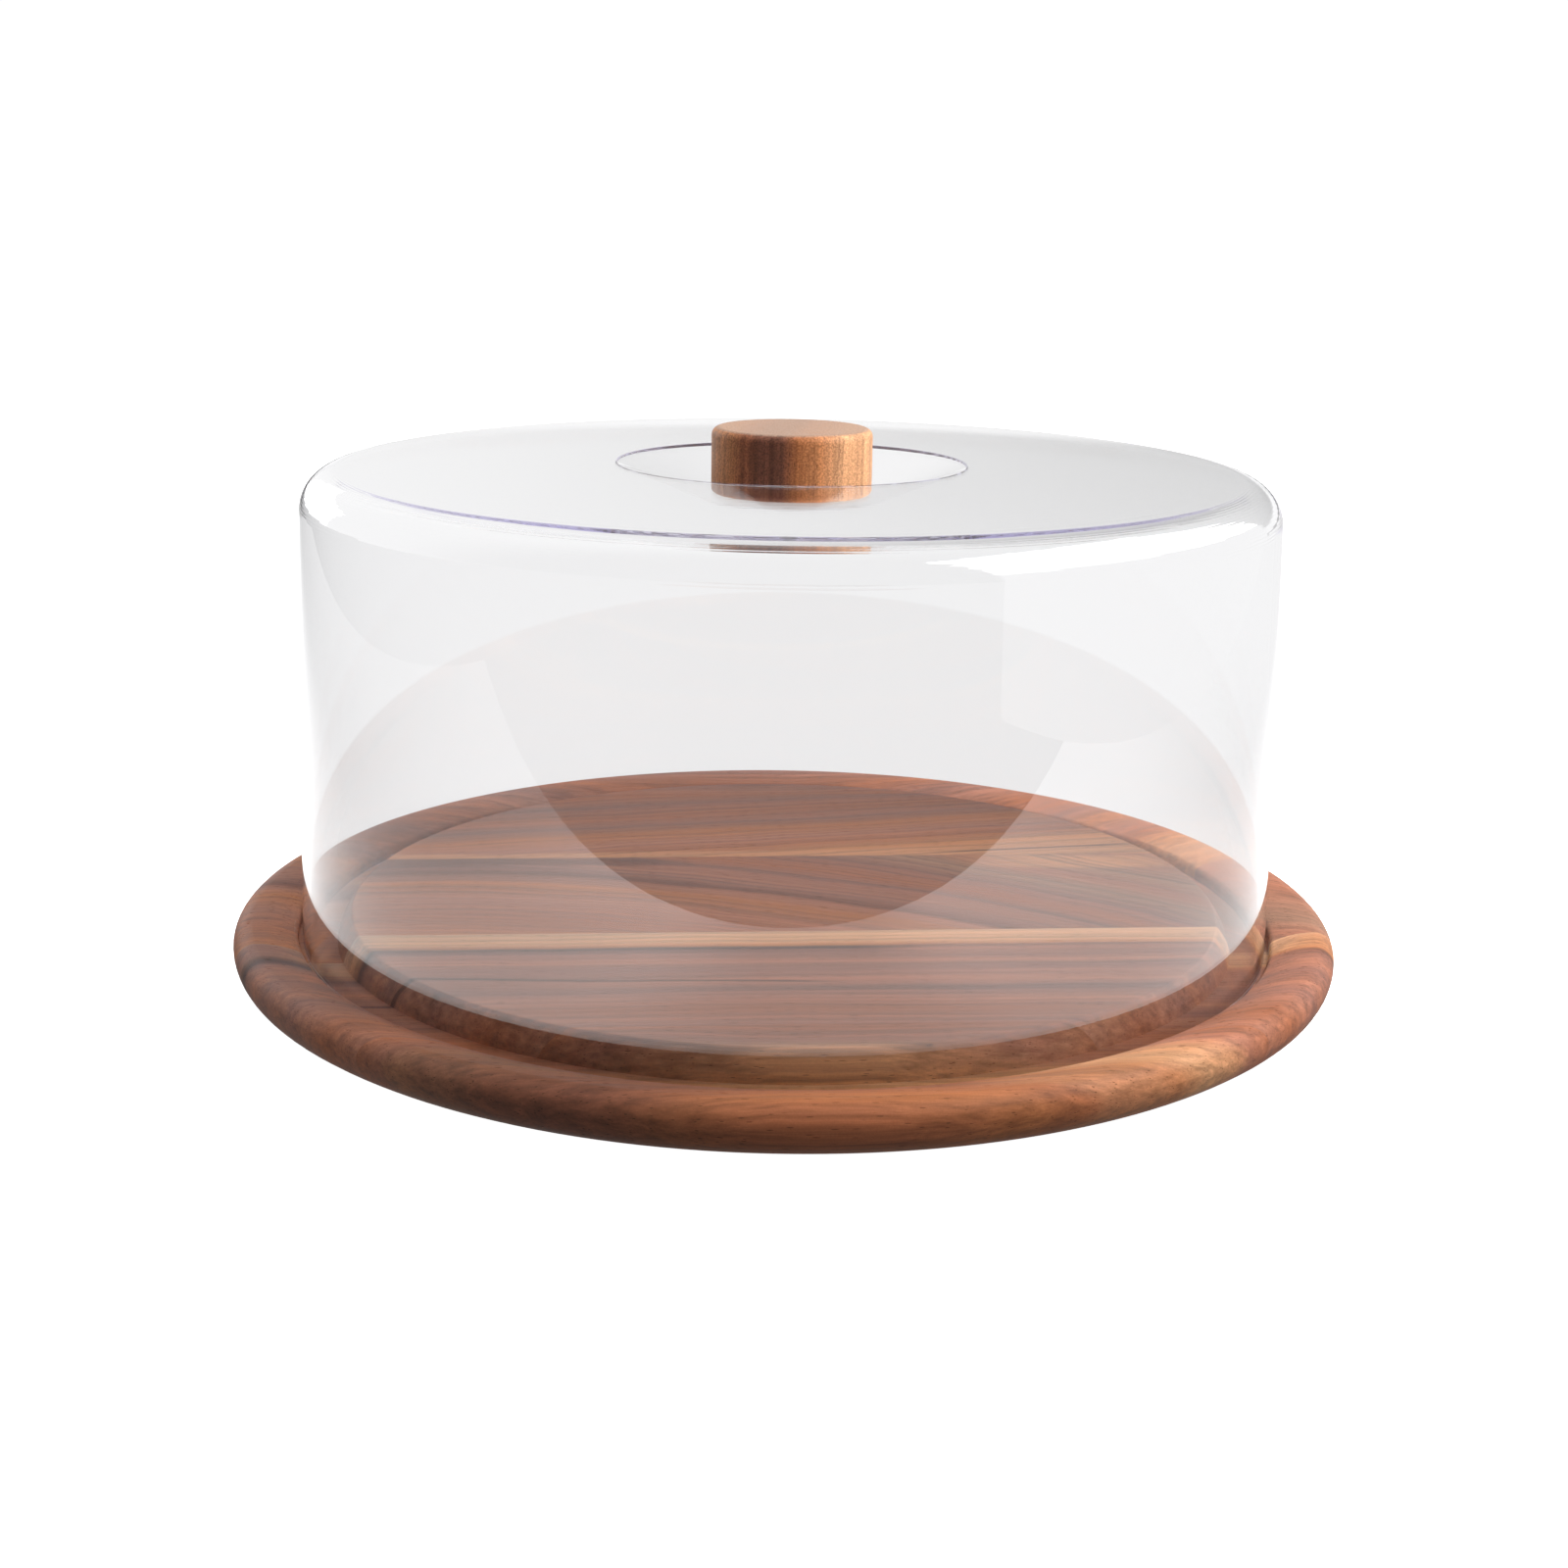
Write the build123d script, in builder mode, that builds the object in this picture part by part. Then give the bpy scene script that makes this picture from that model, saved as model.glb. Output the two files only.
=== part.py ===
"""Cake stand with a lift-off dome: an edge-glued round board, a clear dome and a turned knob.

Millimetres, +Z up. The origin is the centre of the board's underside. The staves run along X.
"""

import os
from math import copysign

from build123d import *

os.makedirs("parts", exist_ok=True)

# Board, turned from the glued blank: a fat rim, a groove for the dome and a raised serving face
board_radius = 150.0
foot_radius = 134.9  # edge of the flat underside
rim_round = 5.3  # outer shoulder of the rim, from its widest line up to its crest
rim_crest_height = 15.7
rim_under_round = 7.9  # tight end of the oval that runs down and in to the foot
rim_inner_round = 2.0  # tight end of the oval that runs from the crest into the groove
groove_outer_radius = 132.9
groove_lip_height = 11.6
groove_height = 10.2
step_foot_radius = 122.6
step_break_radius = 122.0  # top of the steep part of the step up to the serving face
step_break_height = 12.4
step_bulge = 0.3
serving_radius = 118.6
serving_height = 17.8
serving_edge_round = 0.8

rim_widest_height = rim_crest_height - rim_round
rim_crest_radius = board_radius - rim_round

# Staves: strips of one width glued edge to edge, the outer two cut down by the turning
stave_width = 69.55
first_joint = -103.05
stave_names = ["front_edge_stave", "front_stave", "centre_stave", "rear_stave", "rear_edge_stave"]

# Dome: a clear moulding of one wall thickness, drawn by its outer line
shell_wall = 2.0
shell_foot_radius = 131.8
shell_foot_round = 0.8
shoulder_radius = 128.65  # where the wall would meet the crowned top, before rounding
shoulder_height = 135.9
shoulder_round = 10.2
lip_radius = 46.4  # where the crowned top would meet the well, before rounding
lip_height = 137.5
lip_round = 1.5
well_floor_radius = 24.0
well_floor_height = 128.7
well_floor_round = 0.8

# Knob: turned with its end grain up, undercut so that it stands on its outer edge
knob_radius = 21.35
knob_height = 18.1
knob_top_round = 2.2
knob_foot_round = 1.6
undercut_radius = 19.2
undercut_depth = 0.3

# Countersunk wood screw, up through the floor of the well into the knob
head_radius = 3.0
head_land = 0.2  # straight edge of the head, below its cone
shank_radius = 1.55
screw_length = 14.0
point_length = 3.5
point_radius = 0.2
screw_sink = 0.1  # how far the head lies below flush
screw_clearance = 0.05
recess_span = 3.0
recess_width = 0.8
recess_depth = 1.1
recess_taper = 10.0
pilot_radius = 1.3
pilot_depth = 14.0


def round_corner(section, corner, radius):
    """Round the vertex of the section that lies nearest to the corner."""
    fillet(section.vertices().sort_by_distance(corner)[0], radius=radius)


def quarter_oval(centre, reach, tip_round):
    """A quarter of an oval about centre, as wide and as high as reach: a tight arc at its tip
    runs smoothly into a flat arc at its crown."""
    width = reach[0] - centre[0]
    height = reach[1] - centre[1]
    tip_side = copysign(1, width)
    crown_side = copysign(1, height)
    flat_round = (abs(width) - tip_round) ** 2 + height**2 - tip_round**2
    flat_round /= 2 * (abs(height) - tip_round)
    tip_centre = Vector(reach[0] - tip_side * tip_round, centre[1])
    crown_centre = Vector(centre[0], reach[1] - crown_side * flat_round)
    meeting = tip_centre + (tip_centre - crown_centre).normalized() * tip_round
    TangentArc((centre[0], reach[1]), meeting, tangent=(tip_side, 0))
    TangentArc((reach[0], centre[1]), meeting, tangent=(0, crown_side))


def stave(near_y, far_y):
    """The part of the turned board that lies between two glue planes."""
    with BuildPart() as strip:
        with BuildSketch(Plane.XZ) as half_section:
            with BuildLine():
                Line((0, 0), (foot_radius, 0))
                quarter_oval(
                    (foot_radius, rim_widest_height),
                    (board_radius, 0),
                    rim_under_round,
                )
                TangentArc(
                    (board_radius, rim_widest_height),
                    (rim_crest_radius, rim_crest_height),
                    tangent=(0, 1),
                )
                quarter_oval(
                    (rim_crest_radius, groove_lip_height),
                    (groove_outer_radius, rim_crest_height),
                    rim_inner_round,
                )
                Polyline(
                    (groove_outer_radius, groove_lip_height),
                    (groove_outer_radius, groove_height),
                    (step_foot_radius, groove_height),
                    (step_break_radius, step_break_height),
                )
                SagittaArc(
                    (step_break_radius, step_break_height),
                    (serving_radius, serving_height),
                    -step_bulge,
                )
                Polyline((serving_radius, serving_height), (0, serving_height), (0, 0))
            make_face()
            round_corner(half_section, (serving_radius, serving_height), serving_edge_round)
        revolve(axis=Axis.Z)
        with Locations((0, (near_y + far_y) / 2, 0)):
            Box(3 * board_radius, far_y - near_y, 3 * serving_height, mode=Mode.INTERSECT)
    return strip.part


# Staves, front to back
joints = [first_joint + count * stave_width for count in range(len(stave_names) - 1)]
near_sides = [-board_radius - 1, *joints]
far_sides = [*joints, board_radius + 1]
for stave_name, near_y, far_y in zip(stave_names, near_sides, far_sides):
    piece = stave(near_y, far_y)
    piece.label = stave_name
    export_step(piece, f"parts/{stave_name}.step")

# Clear dome: the outer line thickened inwards, cut off level at the groove, rounded and turned
well_underside = Plane((0, 0, well_floor_height - shell_wall), z_dir=(0, 0, -1))
countersink_radius = head_radius + head_land + screw_sink + screw_clearance
with BuildPart() as dome_shell:
    with BuildSketch(Plane.XZ) as shell_section:
        with BuildLine():
            Line((shell_foot_radius, groove_height), (shoulder_radius, shoulder_height))
            TangentArc(
                (lip_radius, lip_height),
                (shoulder_radius, shoulder_height),
                tangent=(1, 0),
            )
            Polyline(
                (lip_radius, lip_height),
                (well_floor_radius, well_floor_height),
                (0, well_floor_height),
            )
            offset(amount=shell_wall, side=Side.LEFT, kind=Kind.INTERSECTION)
        make_face()
        with Locations((0, groove_height)):
            Rectangle(board_radius, board_radius, align=Align.MIN, mode=Mode.INTERSECT)
        fillet(shell_section.vertices().group_by(Axis.Y)[0], radius=shell_foot_round)
        inner_shoulder = (shoulder_radius - shell_wall, shoulder_height - shell_wall)
        round_corner(shell_section, inner_shoulder, shoulder_round - shell_wall)
        round_corner(shell_section, (shoulder_radius, shoulder_height), shoulder_round)
        round_corner(shell_section, (lip_radius, lip_height), lip_round)
        well_underside_corner = (well_floor_radius, well_floor_height - shell_wall)
        round_corner(shell_section, well_underside_corner, well_floor_round + shell_wall)
        round_corner(shell_section, (well_floor_radius, well_floor_height), well_floor_round)
    revolve(axis=Axis.Z)
    with Locations(well_underside):
        CounterSinkHole(
            radius=shank_radius + screw_clearance,
            counter_sink_radius=countersink_radius,
            depth=2 * shell_wall,
            counter_sink_angle=90,
        )
dome_shell.part.label = "dome_shell"
export_step(dome_shell.part, "parts/dome_shell.step")

# Knob
knob_foot = Plane((0, 0, well_floor_height), z_dir=(0, 0, -1))
with BuildPart() as knob:
    with BuildSketch(Plane.XZ) as knob_section:
        with Locations((0, well_floor_height)):
            Rectangle(knob_radius, knob_height, align=Align.MIN)
        knob_top = well_floor_height + knob_height
        round_corner(knob_section, (knob_radius, knob_top), knob_top_round)
        round_corner(knob_section, (knob_radius, well_floor_height), knob_foot_round)
        with Locations((0, well_floor_height)):
            Rectangle(undercut_radius, undercut_depth, align=Align.MIN, mode=Mode.SUBTRACT)
    revolve(axis=Axis.Z)
    with Locations(knob_foot):
        Hole(radius=pilot_radius, depth=pilot_depth)
knob.part.label = "knob"
export_step(knob.part, "parts/knob.step")

# Screw: its head seats in the countersink and its shank grips the smaller pilot hole
head_height = well_floor_height - shell_wall + screw_sink
cone_top = head_height + head_land + head_radius - shank_radius
tip_height = head_height + screw_length
with BuildPart() as knob_screw:
    with BuildSketch(Plane.XZ):
        with BuildLine():
            Polyline(
                (0, head_height),
                (head_radius, head_height),
                (head_radius, head_height + head_land),
                (shank_radius, cone_top),
                (shank_radius, tip_height - point_length),
                (point_radius, tip_height),
                (0, tip_height),
                close=True,
            )
        make_face()
    revolve(axis=Axis.Z)
    with BuildSketch(Plane.XY.offset(head_height)):
        Rectangle(recess_span, recess_width)
        Rectangle(recess_width, recess_span)
    extrude(amount=recess_depth, taper=recess_taper, mode=Mode.SUBTRACT)
knob_screw.part.label = "knob_screw"
export_step(knob_screw.part, "parts/knob_screw.step")
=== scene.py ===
"""Looks for the cake stand: a glued acacia board, a clear dome and a turned knob in a studio.

Metres, +Z up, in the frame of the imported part. Lengths named _mm are millimetres.
"""

import math

import bmesh
import bpy
from mathutils import Matrix, Vector


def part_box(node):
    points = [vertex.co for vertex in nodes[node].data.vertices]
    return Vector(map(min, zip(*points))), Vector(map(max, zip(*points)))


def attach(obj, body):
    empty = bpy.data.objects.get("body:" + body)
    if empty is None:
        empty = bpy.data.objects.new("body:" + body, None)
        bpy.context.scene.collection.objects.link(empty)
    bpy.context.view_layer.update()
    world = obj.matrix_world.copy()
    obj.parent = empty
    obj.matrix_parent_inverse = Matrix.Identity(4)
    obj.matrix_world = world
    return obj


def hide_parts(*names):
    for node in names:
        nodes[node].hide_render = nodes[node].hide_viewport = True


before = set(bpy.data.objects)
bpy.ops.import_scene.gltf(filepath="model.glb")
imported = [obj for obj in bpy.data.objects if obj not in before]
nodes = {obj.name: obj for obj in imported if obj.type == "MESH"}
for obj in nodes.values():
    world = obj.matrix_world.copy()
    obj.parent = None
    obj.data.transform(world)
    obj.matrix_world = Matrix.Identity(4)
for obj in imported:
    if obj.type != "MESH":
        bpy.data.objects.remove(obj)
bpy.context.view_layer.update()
MM = 0.001

# Tones of the wood, as linear colours
TONES = {
    # pale is the tone of end grain; on the knob's top it is also a painted sheen
    "pale": (0.29, 0.19, 0.135),
    "straw": (0.50, 0.25, 0.12),
    "cream": (0.53, 0.30, 0.17),
    "tan": (0.46, 0.21, 0.10),
    "honey": (0.42, 0.165, 0.063),
    "amber": (0.34, 0.118, 0.043),
    "russet": (0.30, 0.10, 0.044),
    "rose": (0.32, 0.125, 0.072),
    "mauve": (0.235, 0.10, 0.068),
    "cocoa": (0.16, 0.06, 0.036),
    "umber": (0.085, 0.034, 0.024),
    "ash": (0.26, 0.135, 0.085),
}

# Each stave: slope and bend (per mm) of its grain across the board, its lean with depth, how far
# it wanders (mm), the tones met across the grain (mm, on the serving face at x = 0), and single
# streaks: start, end, width, tone, strength. A few bands and streaks paint light and shade, as
# noted where they stand
STAVES = {
    "front_edge_stave": {
        "slope": 0.0,
        "bend": 0.0001,
        "lean": 0.1,
        "wander": 3.0,
        "bands": [
            (-156, "amber"),
            (-150, "russet"),
            (-144, "amber"),
            (-136, "russet"),
            (-130, "amber"),
            # Straw and tan here are painted light: lighter tones on the front face of the step up to
            # the raised centre
            (-123, "straw"),
            (-116, "tan"),
            (-111, "rose"),
            (-103, "russet"),
        ],
        "streaks": [
            # A dark streak in the wood, made stronger as painted shade over the lower left front of
            # the rim
            ((-170, -130), (-8, -130), 44.0, "cocoa", 0.85),
            # A pale streak in the wood, partly a painted sheen on the right front of the rim
            ((30, -134), (170, -128), 9.0, "tan", 0.5),
        ],
    },
    "front_stave": {
        "slope": 0.0,
        "bend": 0.0,
        "lean": -0.2,
        "wander": 1.3,
        "bands": [
            (-103, "rose"),
            (-92, "russet"),
            (-84, "rose"),
            (-78, "mauve"),
            (-72, "rose"),
            (-63, "mauve"),
            (-57, "rose"),
            (-50, "mauve"),
            (-46.5, "umber"),
            (-44.5, "honey"),
            (-42, "straw"),
            (-33, "cream"),
        ],
        "streaks": [
            ((-118, -66), (5, -73), 1.6, "umber", 0.8),
            ((25, -79), (120, -77), 7.0, "mauve", 0.7),
            ((20, -49), (140, -49), 9.0, "rose", 0.75),
            ((-170, -39), (-114, -39), 14.0, "mauve", 1.0),
            ((-170, -47), (-110, -46), 6.0, "umber", 0.8),
            ((124, -39), (170, -39), 14.0, "amber", 0.75),
        ],
    },
    "centre_stave": {
        "slope": -0.4376,
        "bend": -0.002084,
        "lean": 0.3,
        "wander": 3.0,
        "bands": [
            (-60, "amber"),
            (-40, "russet"),
            (-25, "rose"),
            (-12, "amber"),
            (-5, "rose"),
            (-1, "cocoa"),
            (5, "mauve"),
            (12, "rose"),
            (20, "mauve"),
            (28, "russet"),
            (40, "mauve"),
            (54, "ash"),
            (66, "rose"),
            (80, "ash"),
            (112, "rose"),
        ],
        "streaks": [
            ((-120, 31), (-27, 32), 8.0, "umber", 0.6),
            ((53, 31), (124, 29), 14.0, "tan", 0.8),
            ((128, 16), (170, 16), 44.0, "russet", 0.6),
        ],
    },
    "rear_stave": {
        "slope": 0.16,
        "bend": 0.0,
        "lean": 0.3,
        "wander": 2.0,
        "bands": [
            (12, "honey"),
            (28, "tan"),
            (40, "honey"),
            (48, "russet"),
            (56, "rose"),
            (66, "amber"),
            (76, "mauve"),
            (86, "russet"),
            (98, "mauve"),
            (110, "russet"),
            (126, "rose"),
        ],
        "streaks": [
            ((-130, 38), (130, 39), 7.0, "tan", 0.85),
            ((50, 38), (110, 46), 1.8, "umber", 0.8),
            ((118, 65), (170, 65), 60.0, "cocoa", 0.45),
        ],
    },
    "rear_edge_stave": {
        "slope": 0.03,
        "bend": 0.0002,
        "lean": -0.3,
        "wander": 3.0,
        "bands": [
            (104, "russet"),
            (112, "rose"),
            (122, "mauve"),
            (132, "russet"),
            (142, "mauve"),
            (152, "russet"),
        ],
        "streaks": [],
    },
}
board_face_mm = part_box("centre_stave")[1].z / MM


# Shader nodes
def put(tree, kind, inputs=(), **settings):
    """Add a shader node. Each input is a socket with a number, colour or other node's output."""
    made = tree.nodes.new(kind)
    for key, value in settings.items():
        setattr(made, key, value)
    for socket, value in inputs:
        if isinstance(value, bpy.types.NodeSocket):
            tree.links.new(value, made.inputs[socket])
        else:
            made.inputs[socket].default_value = value
    return made


def calc(tree, operation, first, second=0.0):
    """One step of arithmetic."""
    return put(tree, "ShaderNodeMath", [(0, first), (1, second)], operation=operation).outputs[0]


def spread(tree, value, low, high, to_low=0.0, to_high=1.0, kind="SMOOTHSTEP"):
    """Map a value from one range to another, held at both ends."""
    inputs = [(0, value), (1, low), (2, high), (3, to_low), (4, to_high)]
    return put(tree, "ShaderNodeMapRange", inputs, interpolation_type=kind).outputs[0]


def point(tree, x, y, z):
    """A vector from three numbers."""
    return put(tree, "ShaderNodeCombineXYZ", [(0, x), (1, y), (2, z)]).outputs[0]


def numbers(tree, vector):
    """The three numbers of a vector."""
    return put(tree, "ShaderNodeSeparateXYZ", [(0, vector)]).outputs


def place_in(tree):
    """The place of a point, in metres."""
    return put(tree, "ShaderNodeTexCoord").outputs["Object"]


def scaled(tree, vector, factor):
    """A vector or a colour times a number."""
    inputs = [(0, vector), ("Scale", factor)]
    return put(tree, "ShaderNodeVectorMath", inputs, operation="SCALE").outputs[0]


def noise(tree, where, scale=1.0, detail=2.0, roughness=0.5):
    """A soft random number from 0 to 1."""
    inputs = [("Vector", where), ("Scale", scale), ("Detail", detail), ("Roughness", roughness)]
    return put(tree, "ShaderNodeTexNoise", inputs).outputs[0]


def tint(tree, share, first, second):
    """Blend two colours."""
    inputs = [(0, share), (6, first), (7, second)]
    return put(tree, "ShaderNodeMix", inputs, data_type="RGBA").outputs[2]


def tone(name):
    """A tone of the wood as a colour with alpha."""
    return (*TONES[name], 1.0)


def blank(name):
    """A new node material with its tree and its shader."""
    material = bpy.data.materials.new(name)
    material.use_nodes = True
    return material, material.node_tree, material.node_tree.nodes["Principled BSDF"]


# Wood. How fine its figure is, per mm along and across the grain
DRIFT = (0.013, 0.03)
GROWTH = (0.0044, 0.55)
FIBRE = (0.091, 2.6)
SPECKLE = 2.2
PORES = (0.2, 1.8)
GROWTH_LIGHT = (0.66, 1.36)  # the least and the most that the colour is multiplied by
FIBRE_LIGHT = (0.9, 1.1)
GROWTH_DULL = (0.48, 0.6)  # roughness
STREAK_LEAD_MM = 8  # a streak shows this far beyond its ends
STREAK_FADE_MM = 10.0  # and reaches its strength this far inside them, plus its width
# Where end grain sets in, so does the painted sheen on the knob's top
END_GRAIN_AND_SHEEN_FACING = (0.75, 0.97)  # how square to the grain a face is where end grain sets in
PORE_SHARE = (0.55, 0.65)  # the cells above this chance hold a pore
PORE_ROUND = (0.14, 0.26)  # inner and outer edge of a pore, in cells
PORE_DARK = 0.45
PORE_DULL = 0.25
FIBRE_RELIEF = 0.35
RELIEF_MM = 0.12


def drawn_out(tree, along, across, depth, fineness):
    """A place in the wood, scaled by one number along the grain and by another across it."""
    lengthwise, crosswise = fineness
    return point(
        tree,
        calc(tree, "MULTIPLY", along, lengthwise),
        calc(tree, "MULTIPLY", across, crosswise),
        calc(tree, "MULTIPLY", depth, crosswise),
    )


def grain_sweep(tree, along, buried, slope, bend, lean):
    """How far aside the grain lies: it slopes and bends along the piece, and leans with depth."""
    sweep = calc(tree, "MULTIPLY", calc(tree, "MULTIPLY", along, along), bend)
    sweep = calc(tree, "ADD", sweep, calc(tree, "MULTIPLY", along, slope))
    return calc(tree, "SUBTRACT", sweep, calc(tree, "MULTIPLY", buried, lean))


def grain_drift(tree, along, across, depth, wander, shift):
    """How far the grain wanders off its line. The shift makes the pieces differ."""
    slow = drawn_out(tree, along, across, depth, DRIFT)
    inputs = [(0, slow), (1, (shift, shift, shift))]
    shifted = put(tree, "ShaderNodeVectorMath", inputs, operation="ADD").outputs[0]
    return spread(tree, noise(tree, shifted, detail=3.0), 0.25, 0.75, -wander, wander, "LINEAR")


def banded(tree, line, bands):
    """Colour of the broad bands, one tone running into the next across the grain."""
    low = bands[0][0]
    high = bands[-1][0]
    ramp = put(tree, "ShaderNodeValToRGB", [(0, spread(tree, line, low, high, kind="LINEAR"))])
    stops = ramp.color_ramp.elements
    while len(stops) < len(bands):
        stops.new(0.5)
    for stop, (where, name) in zip(stops, bands):
        stop.position = (where - low) / (high - low)
        stop.color = tone(name)
    return ramp.outputs[0]


def streaked(tree, colour, along, across, start, end, width, name, strength):
    """The colour with one streak laid over it, from start to end."""
    rise = (end[1] - start[1]) / (end[0] - start[0])
    off_line = calc(tree, "SUBTRACT", across, calc(tree, "MULTIPLY", along, rise))
    off_line = calc(tree, "SUBTRACT", off_line, start[1] - rise * start[0])
    off_line = calc(tree, "ABSOLUTE", off_line)
    near = spread(tree, off_line, 0.25 * width, 0.6 * width, 1.0, 0.0)
    fade = STREAK_FADE_MM + width
    begun = spread(tree, along, start[0] - STREAK_LEAD_MM, start[0] + fade)
    over = spread(tree, along, end[0] - fade, end[0] + STREAK_LEAD_MM, 1.0, 0.0)
    share = calc(tree, "MULTIPLY", calc(tree, "MULTIPLY", near, begun), over)
    share = calc(tree, "MULTIPLY", share, strength)
    return tint(tree, share, colour, tone(name))


def open_pores(tree, along, across, depth, fineness):
    """1 in a pore and 0 between pores: short dashes along the grain, and dots at the end grain."""
    pore_at = drawn_out(tree, along, across, depth, fineness)
    cells = put(tree, "ShaderNodeTexVoronoi", [("Vector", pore_at), ("Scale", 1.0)])
    chance = put(tree, "ShaderNodeSeparateColor", [(0, cells.outputs["Color"])]).outputs[0]
    inside = spread(tree, cells.outputs["Distance"], *PORE_ROUND, 1.0, 0.0)
    return calc(tree, "MULTIPLY", inside, spread(tree, chance, *PORE_SHARE))


def wood(
    name,
    axes,
    slope,
    bend,
    lean,
    wander,
    bands,
    streaks,
    shift,
    face=0.0,
    end_pale_and_sheen=0.0,
    pores=PORES,
    grit=0.05,
):
    """Open-pored hardwood. The axes say which way the grain runs, and which way its bands lie.
    Slope to streaks are as in STAVES, and hold at the depth of the face. The shift makes the
    pieces differ. End grain is paler by its given share, which on the knob's top is also a painted
    sheen. Pores are how many there may be per mm along and across the grain. Grit is the strength
    of the fine speckle."""
    material, tree, shader = blank(name)
    place_mm = scaled(tree, place_in(tree), 1 / MM)
    split = numbers(tree, place_mm)
    along, across, depth = (split[axis] for axis in axes)

    # The line of the grain, and the colour of its bands and streaks
    buried = calc(tree, "SUBTRACT", depth, face)
    sweep = grain_sweep(tree, along, buried, slope, bend, lean)
    drift = grain_drift(tree, along, across, depth, wander, shift)
    drifted = calc(tree, "ADD", across, drift)
    line = calc(tree, "SUBTRACT", drifted, sweep)
    colour = banded(tree, line, bands)
    for streak in streaks:
        colour = streaked(tree, colour, along, drifted, *streak)

    # Growth lines, fibres and speckle, each as a factor on the colour
    growth = noise(tree, drawn_out(tree, along, line, depth, GROWTH), detail=6.0, roughness=0.62)
    fibre = noise(tree, drawn_out(tree, along, line, depth, FIBRE), detail=3.0, roughness=0.6)
    speckle = noise(tree, place_mm, SPECKLE)
    speckle = spread(tree, speckle, 0.35, 0.65, 1.0 - grit, 1.0 + grit, "LINEAR")
    growth_light = spread(tree, growth, 0.32, 0.68, *GROWTH_LIGHT, "LINEAR")
    fibre_light = spread(tree, fibre, 0.3, 0.7, *FIBRE_LIGHT, "LINEAR")
    light = calc(tree, "MULTIPLY", growth_light, fibre_light)
    colour = scaled(tree, colour, calc(tree, "MULTIPLY", light, speckle))

    # End grain, on the faces that lie square to the grain. On the knob's top its paler tone is also a
    # painted sheen
    normal = put(tree, "ShaderNodeNewGeometry").outputs["Normal"]
    facing = calc(tree, "ABSOLUTE", numbers(tree, normal)[axes[0]])
    end = spread(tree, facing, *END_GRAIN_AND_SHEEN_FACING, 0.0, end_pale_and_sheen)
    colour = tint(tree, end, colour, scaled(tree, TONES["pale"], speckle))

    # Open pores
    pore = open_pores(tree, along, calc(tree, "SUBTRACT", across, sweep), depth, pores)
    colour = scaled(tree, colour, spread(tree, pore, 0.0, 1.0, 1.0, PORE_DARK))
    tree.links.new(colour, shader.inputs["Base Color"])

    # Surface: satin oil, duller in the pores, with the fibres just felt
    dull = spread(tree, growth, 0.3, 0.7, *GROWTH_DULL, "LINEAR")
    dull = calc(tree, "ADD", dull, calc(tree, "MULTIPLY", pore, PORE_DULL))
    tree.links.new(dull, shader.inputs["Roughness"])
    relief = calc(tree, "SUBTRACT", calc(tree, "MULTIPLY", fibre, FIBRE_RELIEF), pore)
    bump = [("Height", relief), ("Distance", RELIEF_MM * MM), ("Strength", 0.6)]
    tree.links.new(put(tree, "ShaderNodeBump", bump).outputs[0], shader.inputs["Normal"])
    shader.inputs["Specular IOR Level"].default_value = 0.25
    return material


def steel(name):
    """Plain screw steel, mottled from bright to dull."""
    material, tree, shader = blank(name)
    grain = noise(tree, place_in(tree), scale=2500.0, detail=3.0)
    colour = tint(tree, grain, (0.42, 0.42, 0.43, 1), (0.62, 0.62, 0.62, 1))
    tree.links.new(colour, shader.inputs["Base Color"])
    tree.links.new(spread(tree, grain, 0.2, 0.8, 0.25, 0.45), shader.inputs["Roughness"])
    shader.inputs["Metallic"].default_value = 1.0
    return material


def acrylic(name):
    """Clear plastic, with the faint violet that shows where it is looked at along the wall."""
    material, tree, shader = blank(name)
    shader.inputs["Base Color"].default_value = (1.0, 1.0, 1.0, 1.0)
    shader.inputs["Transmission Weight"].default_value = 1.0
    shader.inputs["IOR"].default_value = 1.49
    shader.inputs["Roughness"].default_value = 0.0
    absorb = [("Color", (0.3, 0.2, 0.75, 1.0)), ("Density", 3.2)]
    volume = put(tree, "ShaderNodeVolumeAbsorption", absorb).outputs[0]
    tree.links.new(volume, tree.nodes["Material Output"].inputs["Volume"])
    return material


def dress(node, material):
    """Give a CAD node its material."""
    for slot in node.material_slots:
        slot.material = material


# The grain of the staves runs along X and their bands lie across Y. The knob's grain runs up it
STAVE_AXES = (0, 1, 2)
KNOB_AXES = (2, 0, 1)
SHIFT_STEP = 7.3
KNOB_SHIFT = 51.0
KNOB_GRAIN_AND_PAINTED_LIGHT = {
    "slope": 0.04,
    "bend": 0.0,
    "lean": -0.25,
    "wander": 1.5,
    # Partly the knob's own grain and partly painted light and shade: the bands run from tan at the
    # left edge, through cocoa just left of the middle, to cream on the right, the side the light falls
    # on
    "bands": [
        (-26, "tan"),
        (-20, "honey"),
        (-16, "russet"),
        (-11, "cocoa"),
        (-5, "cocoa"),
        (-1, "amber"),
        (5, "honey"),
        (10, "straw"),
        (15, "straw"),
        (20, "cream"),
        (26, "cream"),
    ],
    "streaks": [],
    # End grain is this much paler; on the knob's top this is also a painted sheen
    "end_pale_and_sheen": 0.85,
    "pores": (0.35, 1.9),
    "grit": 0.3,
}

for count, (stave, grain) in enumerate(STAVES.items()):
    shift = SHIFT_STEP * count
    dress(nodes[stave], wood(stave + "_wood", STAVE_AXES, **grain, shift=shift, face=board_face_mm))
dress(nodes["knob"], wood("knob_wood", KNOB_AXES, **KNOB_GRAIN_AND_PAINTED_LIGHT, shift=KNOB_SHIFT))
dress(nodes["knob_screw"], steel("screw_steel"))

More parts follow.
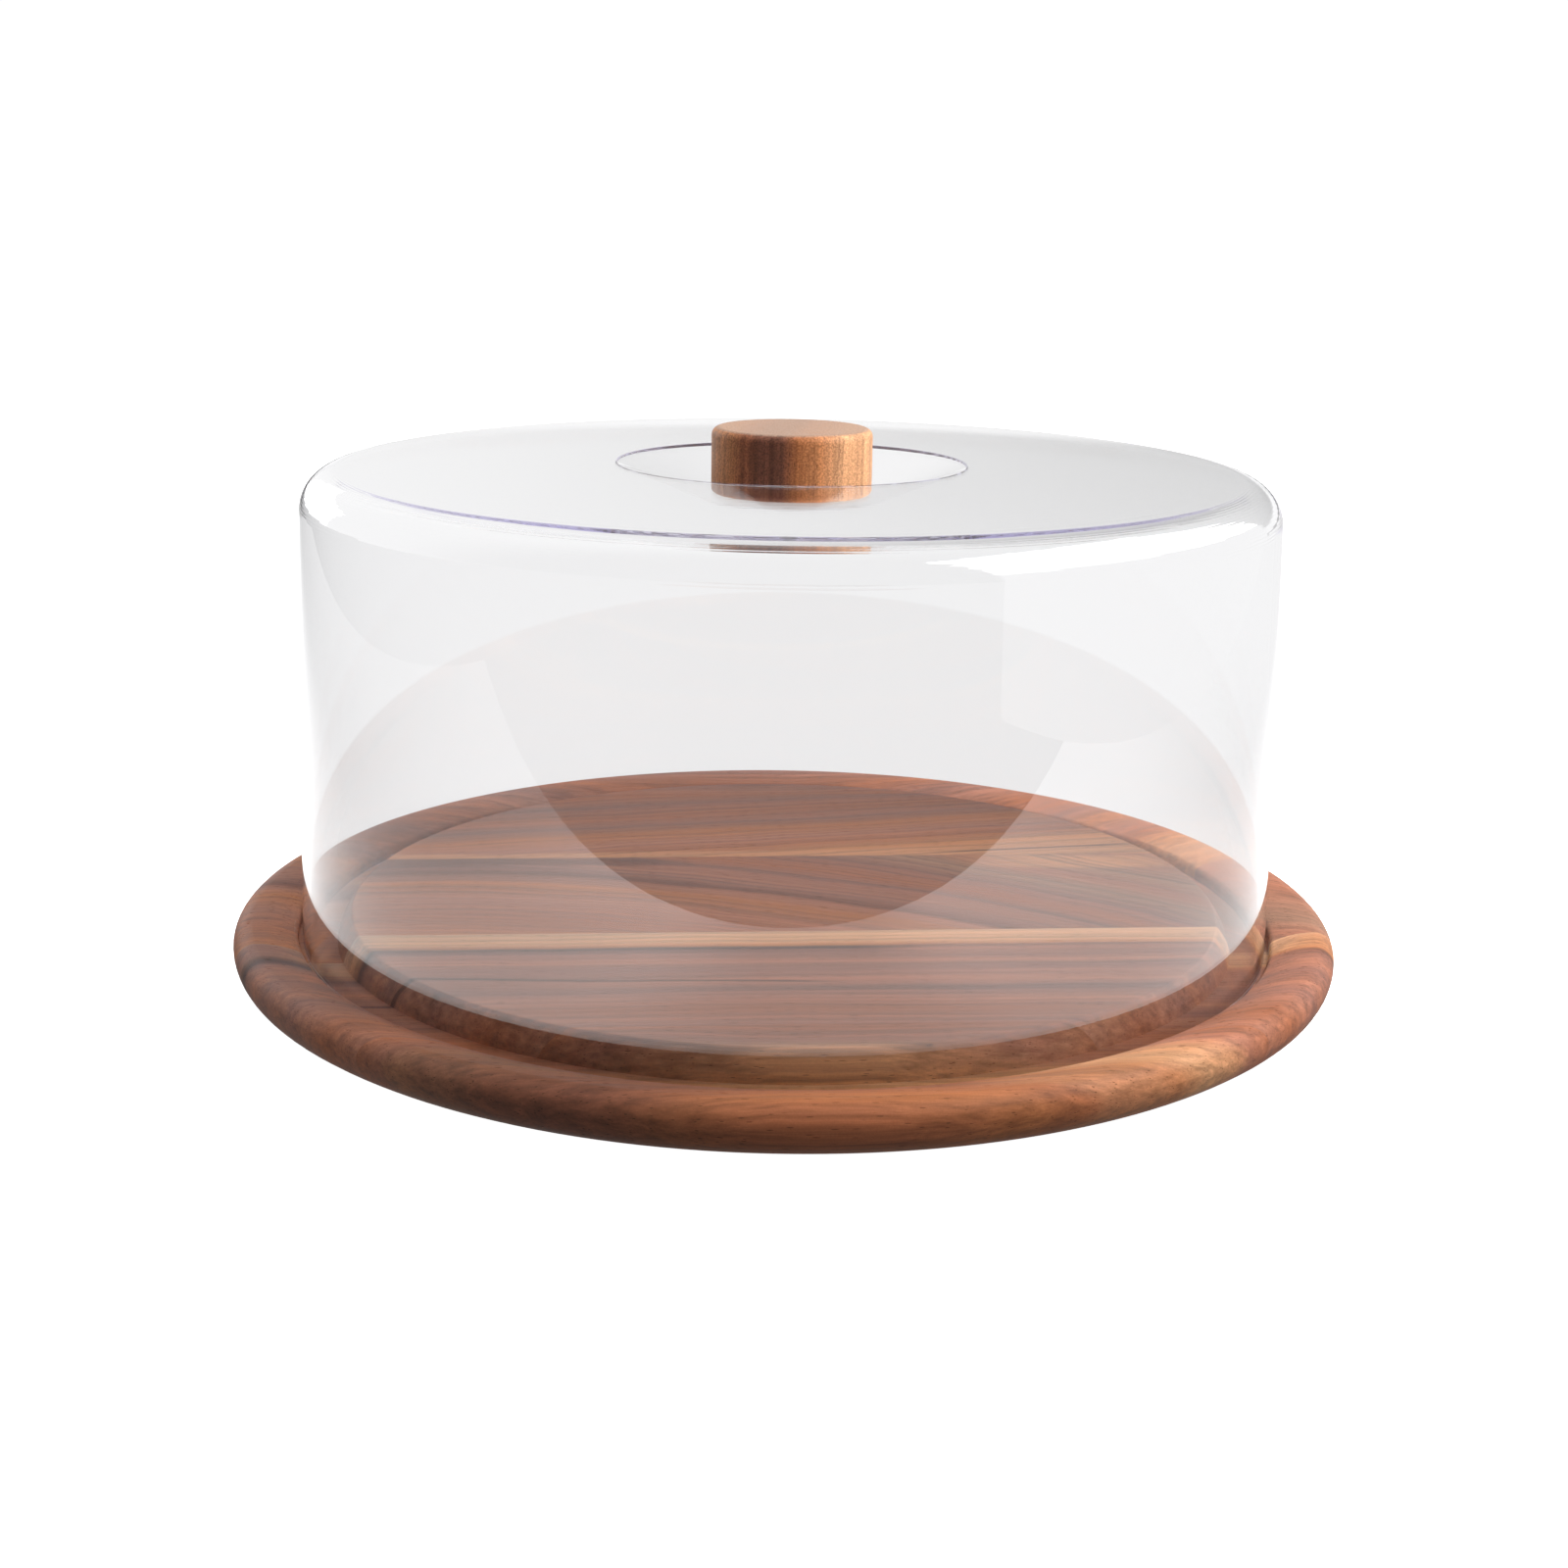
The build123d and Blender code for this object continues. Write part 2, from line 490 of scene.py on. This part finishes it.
# Dome: one wall of clear plastic turned from its section. Two small gaps keep its surfaces from
# coinciding with the board's and the knob's
dome_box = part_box("dome_shell")
knob_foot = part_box("knob")[0].z / MM
board_gap = 0.02
knob_gap = 0.01
wall_mm = 2.0
foot_mm = 131.8
foot_height = dome_box[0].z / MM + board_gap
foot_round = 0.8
shoulder_mm = 128.65
shoulder_height = 135.9
shoulder_round = 10.2
lip_mm = 46.4
lip_height = dome_box[1].z / MM
lip_round = 1.5
well_mm = 24.0
well_height = knob_foot - knob_gap
well_round = 0.8
well_underside = knob_foot - wall_mm
hole_mm = 1.6
hole_land = 0.25  # straight part of the screw hole, above its countersink
countersink_mm = 3.35
crown_outer_mm = shoulder_mm - 10.5  # the plain part of the crown, between its rounded edges
crown_inner_mm = lip_mm + 2.0
crown_steps = 24
arc_step = math.radians(5)
sharp_angle = math.radians(18)
turns = 360

fall = lip_height - shoulder_height
crown_round = ((shoulder_mm - lip_mm) ** 2 + fall**2) / (2 * fall)
crown_centre = lip_height - crown_round
wall_lean = (foot_mm - shoulder_mm) / (shoulder_height - foot_height)
well_slope = math.atan2(lip_height - well_height, lip_mm - well_mm)


def crown(radius_mm, drop=0.0):
    """Height of the crowned top at a radius, or of its underside."""
    return crown_centre + math.sqrt((crown_round - drop) ** 2 - (radius_mm - lip_mm) ** 2)


def rounded(corners):
    """Points along a closed line whose corners (r, z, radius) are rounded off."""
    line = []
    for index, (r, z, radius) in enumerate(corners):
        corner = Vector((r, z))
        if radius == 0:
            line.append(corner)
            continue
        before = (Vector(corners[index - 1][:2]) - corner).normalized()
        after = (Vector(corners[(index + 1) % len(corners)][:2]) - corner).normalized()
        half = before.angle(after) / 2
        centre = corner + (before + after).normalized() * radius / math.sin(half)
        first = corner + before * radius / math.tan(half) - centre
        last = corner + after * radius / math.tan(half) - centre
        turn = first.angle_signed(last)
        count = max(2, math.ceil(abs(turn) / arc_step))
        for part in range(count + 1):
            angle = -turn * part / count
            line.append(centre + Matrix.Rotation(angle, 2) @ first)
    return line


def braced(line, gap=0.2):
    """The same line with a point just inside each end of its long runs, so that they shade flat."""
    made = []
    for index, begin in enumerate(line):
        run = line[(index + 1) % len(line)] - begin
        made.append(begin)
        if run.length > 3 * gap:
            made.append(begin + run.normalized() * gap)
            made.append(begin + run - run.normalized() * gap)
    return made


def dome_section():
    """The section of the dome's wall: its outer line from the foot to the well, and back inside."""
    crown_span = crown_inner_mm - crown_outer_mm
    radii = [crown_outer_mm + crown_span * count / crown_steps for count in range(1, crown_steps)]
    inset = wall_mm * math.tan(well_slope / 2)
    inner_shoulder_mm = shoulder_mm - wall_mm * (1 - wall_lean)
    inner_shoulder_height = crown(inner_shoulder_mm, wall_mm)
    corners = [(foot_mm, foot_height, foot_round), (shoulder_mm, shoulder_height, shoulder_round)]
    corners += [(radius_mm, crown(radius_mm), 0) for radius_mm in radii]
    corners += [(lip_mm, lip_height, lip_round), (well_mm, well_height, well_round)]
    corners += [(hole_mm, well_height, 0), (hole_mm, well_height - hole_land, 0)]
    corners += [(countersink_mm, well_underside, 0)]
    corners += [(well_mm + inset, well_underside, well_round + wall_mm)]
    corners += [(lip_mm + inset, lip_height - wall_mm, 0)]
    corners += [(radius_mm, crown(radius_mm, wall_mm), 0) for radius_mm in reversed(radii)]
    corners += [(inner_shoulder_mm, inner_shoulder_height, shoulder_round - wall_mm)]
    corners += [(foot_mm - wall_mm, foot_height, foot_round)]
    return braced(rounded(corners))


def turned(name, section):
    """A new object: the section turned about the Z axis."""
    form = bmesh.new()
    rings = []
    for turn in range(turns):
        angle = 2 * math.pi * turn / turns
        x = math.cos(angle) * MM
        y = math.sin(angle) * MM
        rings.append([form.verts.new((spot.x * x, spot.x * y, spot.y * MM)) for spot in section])
    for here, there in zip(rings, rings[1:] + rings[:1]):
        for index in range(len(section)):
            after = (index + 1) % len(section)
            form.faces.new((here[index], there[index], there[after], here[after]))
    bmesh.ops.recalc_face_normals(form, faces=form.faces)
    for face in form.faces:
        face.smooth = True
    for edge in form.edges:
        edge.smooth = edge.calc_face_angle(0) < sharp_angle
    mesh = bpy.data.meshes.new(name)
    form.to_mesh(mesh)
    form.free()
    made = bpy.data.objects.new(name, mesh)
    bpy.context.scene.collection.objects.link(made)
    return made


dome = turned("clear_dome", dome_section())
dome.data.materials.append(acrylic("clear_acrylic"))
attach(dome, "dome")
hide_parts("dome_shell")

# Studio. It is laid out square to the camera, which looks at the stand from 5 degrees round
studio = Matrix.Rotation(math.radians(-5), 4, "Z")
RAYS = ("camera", "diffuse", "glossy", "transmission")


def plain(name, colour, glow):
    """A matt surface, which may glow."""
    material, _, shader = blank(name)
    shader.inputs["Base Color"].default_value = (colour, colour, colour, 1.0)
    shader.inputs["Roughness"].default_value = 0.9
    shader.inputs["Specular IOR Level"].default_value = 0.1
    shader.inputs["Emission Color"].default_value = (1.0, 1.0, 1.0, 1.0)
    shader.inputs["Emission Strength"].default_value = glow
    return material


def panel(name, corners, rays, colour=0.0, glow=0.0):
    """A flat piece of the studio, for some kinds of ray only. It casts no shadow."""
    surface = bpy.data.meshes.new(name)
    surface.from_pydata([studio @ Vector(corner) for corner in corners], [], [(0, 1, 2, 3)])
    surface.materials.append(plain(name, colour, glow))
    made = bpy.data.objects.new(name, surface)
    bpy.context.scene.collection.objects.link(made)
    for ray in RAYS:
        setattr(made, "visible_" + ray, ray in rays)
    made.visible_shadow = False
    return made


def level(height, left=-9, right=9, front=-9, back=9):
    """Corners of a level rectangle."""
    return [(left, front, height), (right, front, height), (right, back, height), (left, back, height)]


def upright(start, end, bottom, top):
    """Corners of an upright rectangle."""
    return [(*start, bottom), (*end, bottom), (*end, top), (*start, top)]


def vary_table(table):
    """Make the mirrored table's glow fade to the back and to the left. It is brighter in a pool
    on each side of the middle, and faint in everything but clear reflections."""
    tree = table.data.materials[0].node_tree
    x, y, _ = numbers(tree, place_in(tree))
    aside = calc(tree, "ABSOLUTE", x)
    clear = put(tree, "ShaderNodeLightPath").outputs["Is Singular Ray"]
    pool = 1.9
    shares = [
        spread(tree, x, -0.5, -0.12, 0.5, 1.0),
        spread(tree, aside, 0.03, 0.14, 1.0, pool),
        spread(tree, aside, 0.22, 0.4, 1.0, 1 / pool),
        spread(tree, clear, 0, 1, 0.2, 1),
    ]
    glow = spread(tree, y, -0.28, 0.02, 1.8, 0.9)
    for share in shares:
        glow = calc(tree, "MULTIPLY", glow, share)
    tree.links.new(glow, tree.nodes["Principled BSDF"].inputs["Emission Strength"])


# The floor is white to the camera. In the clear walls it shows as a bright table with a dark
# room beyond its front and left edges. The layers lie a little apart so that none coincide
table = {"left": -0.66, "right": 3, "front": -0.317, "back": 3}
panel("floor", level(0), ["camera"], colour=0.85, glow=1.0)
panel("floor_behind_glass", level(-0.001), ["transmission"], glow=0.92)
panel("table_lit", level(-0.0005, **table), ["diffuse"], colour=0.15)
vary_table(panel("table_mirrored", level(-0.0007, **table), ["glossy"]))
panel("dark_room", level(-0.002), ["diffuse", "glossy"], colour=0.05)

# Lights: a white board and a softbox on the right, a softbox behind on the left, and one above
right_side = [(0.43, -0.47), (0.72, 0.65)]
left_side = [(-0.85, 0.55), (-0.45, 0.9)]
overhead = {"left": -0.6, "right": 1.6, "front": -0.4, "back": 1.2}
board_rays = ["diffuse", "glossy", "transmission"]
panel("right_board", upright(*right_side, 0, 0.3), board_rays, glow=0.95)
panel("right_softbox", upright(*right_side, 0.3, 1.1), ["diffuse", "transmission"], glow=7.5)
panel("left_softbox", upright(*left_side, 0.12, 0.45), ["diffuse", "glossy"], glow=2.6)
panel("top_softbox", level(1.4, **overhead), ["diffuse"], glow=2.2)


def light_sky(world):
    """White low down behind, darker above and to the right, darkest in front. The camera itself
    sees plain white."""
    world.use_nodes = True
    tree = world.node_tree
    direction = put(tree, "ShaderNodeTexCoord").outputs["Generated"]
    x, y, z = numbers(tree, direction)
    above = spread(tree, z, 0.055, 0.08)
    darker = calc(tree, "SUBTRACT", spread(tree, x, -0.3, 0.5, 0.98, 0.5), 1.0)
    glow = calc(tree, "ADD", 1.0, calc(tree, "MULTIPLY", above, darker))
    glow = calc(tree, "MULTIPLY", glow, spread(tree, y, -0.5, 0.3, 0.22, 1.0))
    straight = put(tree, "ShaderNodeLightPath").outputs["Is Camera Ray"]
    glow = calc(tree, "MAXIMUM", glow, calc(tree, "MULTIPLY", straight, 1.05))
    backdrop = tree.nodes["Background"]
    backdrop.inputs["Color"].default_value = (1.0, 1.0, 1.0, 1.0)
    tree.links.new(glow, backdrop.inputs["Strength"])


bpy.context.scene.world = bpy.data.worlds.new("studio")
light_sky(bpy.context.scene.world)

# Camera. It looks along the studio's Y, down at the stand and very slightly tilted
camera_place = (0, -0.63722, 0.217585)
pitch = math.radians(14.8158)
yaw = math.radians(-0.058)
roll = math.radians(0.953)
forward = Vector((math.sin(yaw) * math.cos(pitch), math.cos(yaw) * math.cos(pitch), -math.sin(pitch)))
level_right = forward.cross(Vector((0, 0, 1))).normalized()
level_up = level_right.cross(forward)
right_way = math.cos(roll) * level_right + math.sin(roll) * level_up
up_way = math.cos(roll) * level_up - math.sin(roll) * level_right
pose = Matrix((right_way, up_way, -forward)).transposed().to_4x4()
pose.translation = camera_place
lens = bpy.data.cameras.new("camera")
lens.lens = 55.02
lens.sensor_width = 36.0
camera = bpy.data.objects.new("camera", lens)
camera.matrix_world = studio @ pose
bpy.context.scene.collection.objects.link(camera)
bpy.context.scene.camera = camera
bpy.context.scene.view_settings.view_transform = "Standard"

# Light that enters the edge of the clear top is passed on inside it many times
bounces = 300
cycles = bpy.context.scene.cycles
cycles.max_bounces = bounces
cycles.glossy_bounces = bounces
cycles.transmission_bounces = bounces
